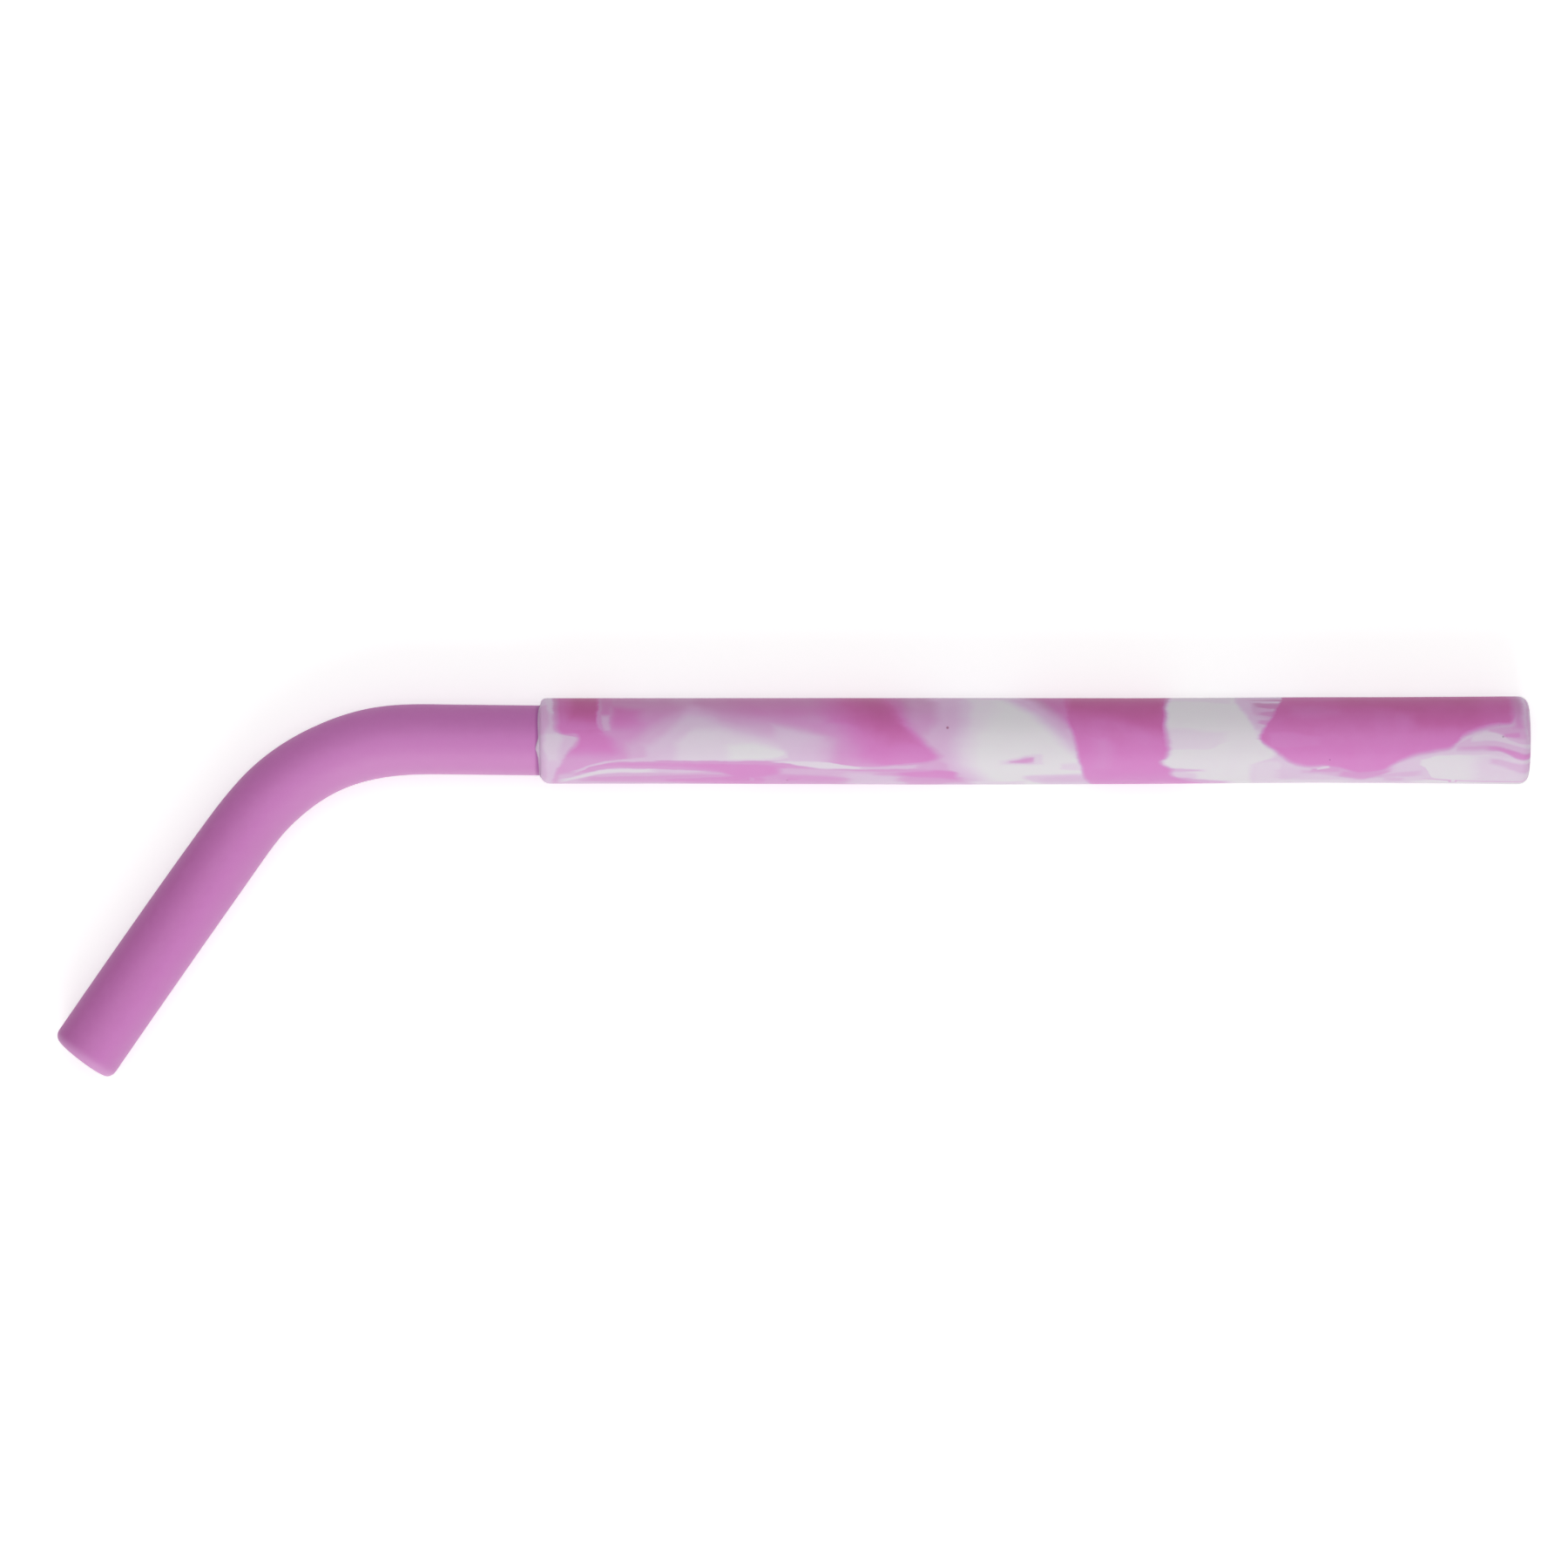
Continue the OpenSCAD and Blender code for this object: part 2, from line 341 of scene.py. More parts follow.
# How the two colours lie, as one pour after another, each a list of patches that cover what is
# there before. Depth 0 is white, 1 is pink, and above that it is deeper still.
# A patch "along" lists (mm along, degrees from, degrees to) and one "around" lists (degrees,
# mm from, mm to); degrees run round the sleeve from its top towards its near side. Before that
# come its depth, how soft its from-edge and to-edge are, and how soft its first and last ends.
MARBLE = {
    "underside": [
        ("along", 0.85, (12, 10), (2, 4), [(2, 100, 170), (8, 95, 190), (14, 110, 175), (19, 130, 150)]),
        ("along", 0.15, (12, 6), (3, 2), [(12, 150, 200), (20, 140, 215), (28, 150, 235), (34, 165, 225),
         (38, 185, 200)]),
        ("along", 0.95, (10, 8), (3, 3), [(28, 110, 135), (38, 100, 165), (46, 110, 185), (53, 130, 200),
         (58, 160, 185)]),
        ("along", 0.9, (6, 10), (2, 3), [(59, 125, 135), (64, 105, 150), (69, 110, 165), (74, 140, 160)]),
        ("along", 0.1, (10, 8), (3, 4), [(103, 150, 180), (112, 135, 215), (122, 150, 235),
         (131, 175, 215)]),
        ("along", 0.95, (8, 10), (2, 2), [(116, 105, 125), (126, 98, 150), (134, 105, 170),
         (142, 120, 160)]),
    ],
    # a mauve ground, pinker towards the deep patch, with a paler column and a cloud of white
    "upper_third": [
        ("along", 0.76, (30, 12), (2, 4), [(0, -120, 85), (62, -120, 85)]),
        ("around", 0.84, (7, 6), (36, 24), [(-176, 22, 58), (-110, 22, 58), (-60, 23, 57), (-40, 26, 55),
         (-22, 30, 52)]),
        ("around", 0.68, (3, 2), (36, 14), [(-176, 17, 23.5), (-110, 17, 23.5), (-60, 18, 23),
         (-42, 19, 23)]),
        ("along", 0.55, (24, 3), (3, 4), [(11, 0, 27), (14, -16, 27.5), (17, -38, 28.5), (20, -54, 29.5),
         (22, -66, 29.5), (24, -58, 29.5), (27, -46, 30), (30, -42, 29), (33, -36, 30), (36, -30, 31),
         (40, -20, 31), (44, -2, 31)]),
        ("along", 0.4, (14, 3), (3, 6.5), [(32, -30, 31), (36, -22, 32), (40, -13, 32), (43.5, -2, 33)]),
        ("along", 0.38, (20, 3), (2.5, 2), [(14, 4, 28), (17, -12, 28.5), (19, -28, 29), (21.5, -46, 29.5),
         (24, -42, 29.5), (27, -30, 30), (31, -20, 29), (35, -10, 30), (38, 10, 30)]),
        ("along", 0.2, (16, 3), (3, 1), [(18, 4, 27), (20, -8, 28), (22.5, -24, 28.5), (25, -24, 28.5),
         (28, -17, 28.5), (31, -10, 28.5), (34, -2, 28), (36, 12, 24)]),
        ("along", 0.0, (10, 4), (4, 0.8), [(25, 6, 26), (28, 0, 27), (30, -2, 27), (32, 1, 26.5),
         (34, 7, 25), (35.4, 13, 19)]),
    ],
    # the deep block near the upper end, and the pale folds that it stands out of
    "upper_end": [
        ("around", 0.96, (0.9, 0.5), (36, 4), [(-176, 1.9, 9), (-110, 1.9, 9), (-70, 2.0, 8.7),
         (-45, 2.2, 8.5), (-20, 2.3, 8.4), (-14, 2.5, 8.8), (-8, 3.4, 9.6)]),
        ("around", 0.98, (0.8, 2.6), (3, 34), [(-16, 4.0, 9.2), (-10, 4.8, 10.2), (-5, 5.2, 11.2),
         (0, 5.3, 11.7), (8, 4.8, 12.1), (14, 4.2, 12.3), (19, 3.8, 11.8), (23, 3.5, 10.8), (28, 3.1, 9.8),
         (36, 3.0, 9)]),
        ("around", 0.76, (0.8, 2), (4, 3), [(24, 3.3, 10), (28, 3.1, 8.9), (33, 3.0, 7.9), (38, 3.0, 7.0),
         (44, 3.2, 6.3), (50, 4.4, 5.7)]),
        ("around", 0.42, (0.01, 0.9), (0, 0), [(-180, -3, 2.2), (-75, -3, 2.2), (-35, -3, 2.4),
         (-14, -3, 2.7), (-9, -3, 3.8), (-4, -3, 5.9), (1, -3, 5.7), (8, -3, 5.0), (15, -3, 4.5),
         (25, -3, 3.9), (35, -3, 3.3), (46, -3, 2.8), (54, -3, 2.5), (62, -3, 2.3), (70, -3, 2.2),
         (80, -3, 2.2), (110, -3, 2.2), (180, -3, 2.2)]),
        ("around", 0.26, (0.7, 1.2), (8, 12), [(-14, 0.2, 2.6), (-4, 0.4, 3.8), (8, 0.3, 3.6),
         (20, 0.8, 3.4), (34, 1.2, 2.8)]),
        ("around", 0.33, (0.4, 0.8), (10, 12), [(-95, 0.2, 2.0), (-60, 0.6, 2.1), (-34, 1.0, 2.3)]),
        ("around", 0.56, (0.3, 0.9), (10, 10), [(-62, -1, 1.3), (-28, -1, 1.8), (-4, -1, 1.0)]),
        ("around", 0.5, (0.3, 0.6), (14, 10), [(20, -1, 0.9), (40, -1, 1.1), (60, -1, 1.2),
         (80, -1, 1.0)]),
        # painted shade: the deep block is made deeper still on its far side
        ("around", 1.09, (2.4, 0.9), (36, 44), [(-176, 2.8, 8.6), (-120, 2.8, 8.6), (-60, 3.0, 8.6),
         (-30, 3.3, 8.4), (-8, 3.8, 8.2)]),
        ("around", 0.87, (0.5, 0.6), (36, 5), [(-176, 8.4, 10.6), (-120, 8.4, 10.6), (-60, 8.5, 10.7),
         (-47, 8.6, 10.3), (-35, 8.4, 10.4), (-20, 8.4, 10.6), (-11, 8.9, 10.3)]),
        ("around", 0.54, (0.6, 0.7), (12, 4), [(-42, 8.5, 10.4), (-20, 8.5, 10.4), (-11, 8.9, 10.3)]),
        ("along", 0.84, (20, 18), (2, 5), [(9.2, -66, -12), (11, -68, -6), (13, -60, -6),
         (16.5, -50, -14)]),
        ("along", 0.94, (20, 20), (2, 5), [(9.6, -62, -16), (11, -62, -8), (12.5, -58, -10),
         (16.5, -46, -18)]),
        ("along", 0.8, (16, 16), (2, 4), [(9.4, -96, -50), (12, -96, -46), (17, -96, -56)]),
    ],
    # thin streaks and lobes on the near side of the upper third
    "near_streaks": [
        ("along", 0.5, (8, 16), (2, 4), [(1.5, 52, 84), (4, 46, 104), (7, 54, 116), (11, 64, 104)]),
        ("along", 0.5, (5, 16), (4, 6), [(3, 68, 84), (9, 70, 108), (15, 71, 104), (23, 74, 86)]),
        ("along", 0.55, (4, 5), (3, 4), [(4, 46, 60), (10, 45, 59), (18, 43, 57), (22, 43, 55),
         (26, 46, 54), (28.5, 49, 53)]),
        ("along", 0.76, (6, 5), (5, 2), [(3.6, 66, 76), (6, 60, 73), (8, 56, 73), (12, 55, 73),
         (16, 54, 73), (20, 52, 76), (24, 51, 80), (28, 51, 86), (34, 53, 86), (36, 55, 80)]),
        ("along", 0.96, (5, 5), (3, 2), [(16.5, 64, 70), (19, 61, 73), (22, 59, 75), (24, 56, 78),
         (26, 55, 84), (29, 52, 84), (31, 54, 84), (33, 60, 78)]),
        ("along", 0.86, (2, 2.5), (2.5, 1), [(6.8, 36, 39.5), (8, 33, 38), (10, 31, 37), (14, 30.6, 36.8),
         (18, 30.6, 38), (22, 31, 41), (25, 31.5, 46), (28, 32, 56), (31, 31.8, 60), (33, 32.2, 56),
         (34.6, 34.5, 50), (35.8, 38, 44)]),
        ("along", 0.95, (4, 6), (2.5, 1.6), [(18, 32.5, 37), (22, 32, 39.5), (24, 32, 42.5), (26, 32, 48),
         (28, 32, 58), (30, 32.5, 62), (32, 33, 58), (33.4, 34, 52), (34.6, 36, 46)]),
        ("around", 0.8, (0.35, 0.35), (3, 4), [(56, 30, 30.5), (62, 29.8, 30.8), (69, 30, 30.6)]),
        ("along", 0.42, (3, 2.5), (4, 3), [(2.8, 52, 60), (4.5, 45, 53), (6, 38, 46), (7.5, 31, 37.5),
         (9.3, 26.5, 33), (11, 25, 31), (14, 22, 30.3), (18, 18, 30)]),
        ("along", 0.4, (3, 5), (3, 5), [(12, 40, 51), (16, 39.5, 51), (20, 40.5, 51), (24, 43, 49),
         (26, 44.5, 48)]),
        ("along", 0.12, (5, 5), (4, 4), [(1.2, 66, 82), (3, 61, 74), (4.4, 56, 68), (5.5, 52, 64),
         (7, 45.5, 58), (9, 40, 52.5), (11, 38.3, 50.5), (13, 38, 50), (15, 39, 50), (18, 40, 49.5)]),
    ],
    # the deep patch, darkest along its lower edge, its ground, and the streaks beside it
    "deep_patch": [
        ("around", 0.5, (3, 4), (0, 0), [(-180, 53, 64), (0, 53, 64), (40, 56, 64), (110, 56, 64),
         (180, 53, 64)]),
        ("around", 0.68, (2, 2.5), (36, 20), [(-176, 50, 57), (-110, 50, 57), (-75, 50, 57),
         (-60, 50, 57.8), (-30, 50, 58), (-14, 50, 57), (0, 50, 56)]),
        ("along", 0.52, (4, 7), (2, 5), [(33.5, 37, 52), (37, 37.5, 55), (42, 39.5, 58), (47, 42, 66),
         (54, 44, 68)]),
        ("along", 0.4, (7, 16), (4, 4), [(41.5, 50, 70), (45, 44, 92), (49, 49, 98), (54.5, 57, 78)]),
        ("along", 0.8, (6, 8), (1, 5), [(33.7, 53, 80), (36, 51.5, 77), (38, 52, 75), (41, 54, 73),
         (46, 60, 70)]),
        ("along", 0.9, (5, 5), (0.5, 1.5), [(35.2, 55, 70), (36, 56, 68), (38, 59, 66)]),
        ("around", 0.9, (3.5, 3), (36, 16), [(-176, 38, 54.5), (-120, 38, 54.5), (-75, 38, 53.5),
         (-60, 38, 53.8), (-45, 38, 54), (-30, 39, 54), (-16, 40, 54.5)]),
        ("around", 1.0, (5.5, 2.3), (36, 3), [(-176, 39.3, 49.4), (-120, 39.3, 49.4), (-75, 39.8, 49.5),
         (-60, 40, 50.6), (-45, 40, 51.6), (-30, 40.2, 52.1), (-15, 41, 53.8), (0, 41.6, 55.7),
         (8, 42, 56.8), (15, 42, 57.7), (21, 42.2, 58.2), (26, 43, 57.6), (29.5, 43.8, 55.4),
         (32.5, 45, 52), (35.5, 46.4, 49.3)]),
        ("around", 1.07, (6, 4), (24, 30), [(-96, 41, 50.5), (-50, 42.5, 52), (-30, 43.5, 53.2),
         (-15, 44.5, 54.8), (4, 47, 56), (20, 49, 57)]),
        ("along", 0.14, (3, 4), (3, 4), [(32.8, 29, 31.5), (35, 27, 32.5), (37, 26.5, 37), (39, 27, 40.5),
         (41, 28.5, 42.5), (43, 31, 42), (45, 33.5, 42), (48.5, 36, 41.5)]),
        ("along", 0.46, (2, 3), (2, 2), [(45, 34.5, 42), (48, 35.8, 42), (51, 33.5, 41), (54, 32.5, 40.5),
         (56.5, 34, 39.5)]),
        ("along", 0.62, (6, 5), (2, 1.6), [(52.8, 34, 40), (55.5, 28, 43), (57, 26, 43), (59, 32, 43)]),
        ("along", 0.72, (6, 6), (4, 2), [(46.5, 46, 52), (50, 43.5, 54), (53.5, 42, 60)]),
        ("along", 0.77, (6, 9), (5, 3), [(49, 60, 64), (51.5, 55, 72), (54, 52, 76), (57, 52, 78),
         (59.4, 52, 76), (62, 56, 72)]),
        ("along", 0.98, (6, 7), (4, 2.2), [(49.4, 48, 49), (51.6, 44, 54), (53.6, 41.5, 59),
         (55.5, 40.6, 60), (57, 38.6, 61), (58.6, 40.5, 63), (60.8, 49, 66)]),
    ],
    # the wide white part before the band, with its mauve far edge and small pink fleck
    "wide_white": [
        ("around", 0.5, (3, 2), (0, 0), [(-180, 62, 80), (180, 62, 80)]),
        ("around", 0.9, (3.6, 2), (36, 18), [(-176, 66.6, 80), (-120, 66.6, 80), (-75, 68.4, 80),
         (-60, 69.8, 80), (-45, 71, 80), (-30, 72.8, 80), (-10, 75, 80)]),
        ("around", 0.0, (6, 3.6), (0, 0), [(-180, 57.5, 69), (-90, 59.5, 67.5), (-75, 59.2, 68),
         (-60, 58.7, 69.4), (-45, 58.7, 71.2), (-30, 58.7, 73.2), (-15, 58.3, 74.8), (0, 57.6, 76.4),
         (15, 57.4, 78), (30, 57.6, 80), (40, 58.2, 80.5), (50, 59.2, 80.5), (60, 60, 80.5),
         (75, 60.5, 80.5), (110, 61.5, 80), (180, 57.5, 69)]),
        ("around", 0.14, (2, 4), (10, 14), [(-85, 60, 69), (-60, 61, 67.5), (-40, 61, 67), (-25, 61, 66),
         (-8, 61, 65)]),
        ("around", 0.36, (4, 3), (36, 9), [(-176, 58, 70), (-140, 58, 70), (-80, 60, 70), (-68, 61, 69)]),
        ("along", 0.22, (7, 5), (2.4, 1.6), [(64.8, 26, 35), (68, 20, 36), (69.8, 15, 36), (71.3, 14, 35),
         (72.8, 22, 34)]),
        ("along", 0.42, (5, 4), (2.2, 1.4), [(66.2, 27, 34), (68.4, 22.5, 34), (69.8, 18.5, 34),
         (71.3, 20, 32)]),
        ("along", 0.78, (5, 5), (3, 1.6), [(66, 28.5, 31.5), (68, 25.5, 32.5), (69.2, 22.5, 32.5),
         (70.4, 21, 31), (71.4, 22, 28.5)]),
        ("along", 0.22, (4, 16), (4, 3), [(60, 66, 84), (65, 66, 112), (71, 62, 92)]),
        ("along", 0.36, (6, 12), (2.4, 1), [(68, 53, 58), (70.5, 48, 76), (73, 47.5, 94), (76, 46, 112),
         (79, 45, 118)]),
        ("along", 0.45, (7, 6), (2.5, 1), [(70.2, 55, 72), (74, 52, 74), (77, 50, 74), (79, 50, 74)]),
        ("along", 0.22, (6, 5), (1.6, 1), [(73.6, 30, 42), (75.4, 28, 44), (79, 26, 46)]),
    ],
    # the white part after the band, and the mauve feathers that reach into it
    "second_white": [
        ("around", 0.34, (3, 1.5), (0, 0), [(-180, 96, 145), (180, 96, 145)]),
        ("around", 0.03, (1.5, 1.5), (0, 0), [(-180, 86, 101), (-90, 86, 100.3), (-70, 86, 100.2),
         (-50, 86, 101), (-35, 86, 102), (-20, 86, 103), (-5, 86, 103.8), (15, 86, 106), (24, 86, 105.5),
         (30, 86, 103.6), (40, 86, 102.6), (60, 86, 102.4), (90, 86, 103), (180, 86, 101)]),
        ("along", 0.19, (8, 4), (1, 4), [(89, -20, 14), (92, -20, 13), (95, -17, 14.5), (98, -15, 4),
         (100, -14, -4)]),
        ("along", 0.2, (10, 10), (1, 2), [(89, -130, -62), (96, -130, -58), (100, -130, -50)]),
        ("along", 0.5, (4, 5), (0.5, 3), [(88.5, 36, 52), (90.5, 38, 51), (92.5, 39.5, 49.5),
         (96.2, 42, 46.5)]),
        ("along", 0.3, (5, 5), (0.5, 2), [(88.5, 42, 70), (91, 43, 68), (93.5, 46, 64), (95, 50, 60)]),
        ("along", 0.62, (8, 16), (0.5, 5), [(89.5, 53, 124), (92, 55, 118), (94, 59, 112), (96.5, 64, 104),
         (101, 70, 92)]),
        ("around", 0.44, (1.2, 1), (36, 8), [(-176, 98.6, 108), (-110, 98.6, 108), (-72, 99.0, 108),
         (-55, 99.4, 107.5), (-45, 99.8, 107), (-35, 100.4, 106.5), (-25, 101.2, 106),
         (-12, 102.2, 105.5)]),
        ("along", 0.56, (10, 8), (1.5, 0.5), [(101, -66, -38), (103, -66, -30), (105, -66, -24),
         (106, -64, -24)]),
        ("along", 0.74, (5, 5), (1.5, 0.5), [(101.5, -60, -54), (103, -63, -49), (104.5, -62, -45),
         (106, -60, -50)]),
        ("along", 0.6, (3, 3), (1.5, 0.5), [(100, -71, -67), (103, -72, -68), (106, -72, -66)]),
        ("along", 0.8, (3, 3), (3, 0.5), [(100.6, -70, -66), (104, -71, -65), (107, -73, -63)]),
        ("along", 0.83, (3, 3), (2.5, 0.5), [(101.4, -54, -50), (104, -56, -47), (107, -58, -44)]),
        ("along", 0.78, (3, 3), (2.5, 0.5), [(101.6, -41, -37), (103.6, -43, -34), (106, -45, -30)]),
        ("along", 0.74, (3, 3), (2, 0.5), [(101.8, -29, -26), (103, -30, -22), (105, -32, -18)]),
        ("along", 0.12, (3, 3), (2, 1), [(102.6, -63, -60), (105, -63, -59), (107.6, -62, -60)]),
    ],
    # the long pink patch towards the lower end, over lilac
    "long_patch": [
        ("along", 0.22, (7, 16), (2.6, 1.5), [(100.8, 34, 92), (103.5, 26, 112), (105, 25, 118),
         (106.6, 30, 112)]),
        ("along", 0.38, (8, 8), (3, 3), [(104, 42, 62), (107, 38, 66), (110, 38, 62), (112, 40, 60)]),
        ("along", 0.22, (5, 16), (3, 4), [(103, 62, 88), (108, 64, 118), (112, 64, 108), (118, 70, 88)]),
        ("along", 0.5, (6, 6), (2, 3), [(108, 40, 52), (111, 42, 55), (114, 44, 60), (117, 48, 66),
         (119.5, 50, 64), (122, 46, 62), (125, 42, 58), (127.5, 40, 52)]),
        ("along", 0.62, (7, 10), (2, 2.5), [(113.5, 46, 58), (116, 48, 68), (117.5, 50, 72), (119, 50, 66),
         (121.5, 48, 58)]),
        ("along", 0.5, (4, 6), (1.5, 2), [(120, 56, 72), (122, 58, 74), (124.5, 60, 72)]),
        ("along", 1.0, (14, 11), (0.4, 1.4), [(102.1, -5, -2), (102.8, -11, 3), (103.3, -19, 9),
         (103.9, -28, 13), (104.4, -38, 16), (104.9, -47, 19), (105.4, -56, 22), (105.8, -66, 25),
         (106.3, -80, 28), (107, -120, 33.5), (108.5, -112, 39.5), (110.3, -124, 43), (112, -134, 42),
         (113.5, -140, 44.5), (115, -137, 48), (116.2, -128, 53.5), (117.2, -120, 57), (118.3, -117, 56),
         (119.6, -122, 53), (120.8, -131, 48.5), (121.8, -139, 41), (122.6, -143, 35.5), (124, -141, 29),
         (125.5, -134, 24.5), (127, -127, 21.5), (128.5, -122, 18.5), (130, -120, 15), (130.9, -124, 9),
         (131.6, -131, 2), (132.8, -138, -4), (134, -141, -8), (135.5, -139, -11.5), (137, -134, -14),
         (138.6, -128, -15), (139.4, -122, -22), (140, -115, -50), (140.5, -100, -80)]),
        ("along", 0.8, (7, 6), (1.5, 3), [(114, 40, 56), (116.2, 44, 62), (117.4, 46, 66), (119, 44, 62),
         (121, 40, 52), (123, 32, 44)]),
        ("along", 1.05, (16, 22), (7, 5), [(111, -130, -34), (120, -130, -36), (126, -130, -8),
         (131, -130, -4), (137, -130, -16)]),
        ("along", 0.96, (14, 14), (3, 4), [(106, -60, -32), (110, -60, -26), (113, -54, -28),
         (116.5, -48, -36)]),
        ("along", 0.98, (16, 16), (4, 4), [(117.5, -52, -26), (121, -54, -6), (124, -48, -8),
         (127, -40, -20)]),
        ("along", 0.95, (6, 6), (1.5, 3), [(103.5, -12, 6), (106, -14, 12), (110, -10, 10), (113, -4, 6)]),
        ("along", 0.7, (3, 5), (1.5, 1.5), [(109.6, 40, 49), (111.5, 40, 50), (113.5, 38, 50),
         (115.4, 40, 50)]),
        ("along", 0.2, (3.5, 3.5), (1.2, 0.9), [(110.6, 41.5, 46), (112, 36.5, 43.5), (113.4, 34, 40)]),
    ],
    # white again, with lilac folds and a curved pink streak
    "lower_end": [
        ("along", 0.05, (4, 5), (1.2, 4), [(125.4, 26, 32), (126.6, 23, 40), (127.2, 21.5, 50),
         (127.8, 19.5, 62), (129, 18, 66), (133, 16.5, 67), (137.5, 17, 67)]),
        ("along", 0.26, (4, 6), (5, 0), [(131, 17, 66), (134, 17, 67), (138, 20, 68), (142, 26, 70)]),
        ("along", 0.12, (4, 16), (3, 4), [(123.5, 66, 84), (128, 68, 106), (132, 69, 114), (138, 72, 96)]),
        ("along", 0.3, (4, 4), (2, 2), [(123, 57, 66), (126, 59, 67), (129, 62, 69)]),
        ("along", 0.36, (5, 3), (3, 0), [(132, 63, 72), (136, 63, 72), (139, 64, 72), (142, 64, 72)]),
        ("along", 0.48, (4, 3), (1.2, 0), [(130.3, 4, 15), (131.8, -2, 15.5), (133.5, -8, 15.5),
         (135.5, -13, 15.5), (137.3, -20, 15), (138.6, -22, 17), (142, -60, 22)]),
        ("along", 0.26, (3, 3.5), (1, 0), [(132.6, -3, 3), (134, -9.5, 3), (135.6, -12.5, 2),
         (137, -10.5, 3), (138.3, -4, 5.5), (139.4, 0, 8), (140.5, 3, 11), (142, 4, 14)]),
        ("along", 0.6, (4, 4), (1.6, 0.8), [(134.8, -18, -13), (137.1, -19, -7.5), (138.8, -20, -2.5),
         (140.3, -22, 0), (141.3, -14, -2)]),
        ("along", 0.82, (4, 3.5), (1, 0.8), [(137.3, -10, -5), (138.4, -11.5, -3), (139.3, -12, -2),
         (140.4, -11, -3)]),
        ("around", 0.8, (1.6, 0.01), (36, 12), [(-176, 137.8, 150), (-120, 137.8, 150), (-60, 138.2, 150),
         (-10, 138.6, 150)]),
        ("around", 0.36, (1.5, 0.01), (36, 4), [(-176, 139.2, 150), (-120, 139.2, 150), (-75, 139.4, 150),
         (-50, 139.8, 150), (-22, 140, 150), (-6, 140.3, 150)]),
        ("around", 0.55, (0.3, 0.4), (36, 3), [(-176, 140.8, 141.6), (-120, 140.8, 141.6),
         (-50, 140.9, 141.7), (-4, 141.0, 141.8)]),
        ("along", 0.62, (4, 4), (4, 1), [(129.5, 6, 12), (133, 5.4, 13), (136.5, 5.6, 14.5),
         (138.4, 7, 17)]),
        ("along", 0.88, (4, 5), (3, 0.3), [(134.4, 6.6, 12), (136.8, 6.6, 14.4), (137.8, 8, 17.4),
         (138.8, 10, 22.4), (139.7, 12.8, 26.6), (140.6, 15, 28.4), (141.4, 16, 28.6), (142, 16.6, 28.6)]),
        ("along", 0.5, (5, 8), (2, 0), [(134.9, 25, 31), (136.4, 22, 36), (138, 24, 41), (139.5, 28, 48),
         (142, 32, 58)]),
    ],
    # the pink band that runs right round
    "band": [
        ("around", 1.0, (1, 1.5), (0, 0), [(-180, 76.5, 90), (-120, 74.4, 91.5), (-90, 74.4, 91.2),
         (-70, 74.6, 90.7), (-55, 74.8, 90.4), (-40, 75.0, 90.2), (-20, 75.3, 90.3), (0, 75.9, 90.5),
         (10, 76.2, 90.6), (20, 76.4, 90.5), (25, 76.5, 90.2), (29, 76.6, 89.7), (33, 76.8, 89.8),
         (38, 77, 90.6), (44, 77.1, 91.2), (50, 77.3, 91.1), (56, 77.5, 91.4), (62, 77.7, 92.3),
         (70, 78, 93.8), (90, 78.8, 96), (130, 79, 94), (180, 76.5, 90)]),
        ("around", 0.92, (3, 3), (16, 10), [(-10, 77.5, 81.5), (10, 78, 83), (44, 78.5, 82)]),
        # painted shade: the band is made deeper on its far side
        ("along", 1.07, (14, 26), (2, 2), [(75, -110, -34), (80, -110, -24), (84, -110, -15),
         (87, -110, -3), (90, -110, 0)]),
    ],
    # the mould's parting line low on the near side, with a nick in it and a paler strip below
    "mould_line": [
        ("along", 0.1, (1.5, 16), (3, 0), [(125, 64, 82), (128, 66, 92), (131, 70, 104), (135, 71.5, 116),
         (142, 71.5, 124)]),
        ("along", 0.72, (1.6, 1.4), (3, 0), [(125, 59.5, 62), (127.3, 61.5, 64.3), (129.4, 64.2, 67),
         (131.5, 66.6, 69.4), (134, 68.2, 71), (138, 68.2, 71.6), (142, 67.6, 71.6)]),
        ("along", 0.6, (1.5, 1.5), (0.25, 0.25), [(130, 66, 69.5), (130.7, 66, 75.5), (131.4, 66, 69.5)]),
        ("along", 0.12, (1.2, 1.4), (0.2, 0.2), [(130.35, 65, 69), (130.7, 65, 73), (131.1, 65, 69)]),
    ],
}


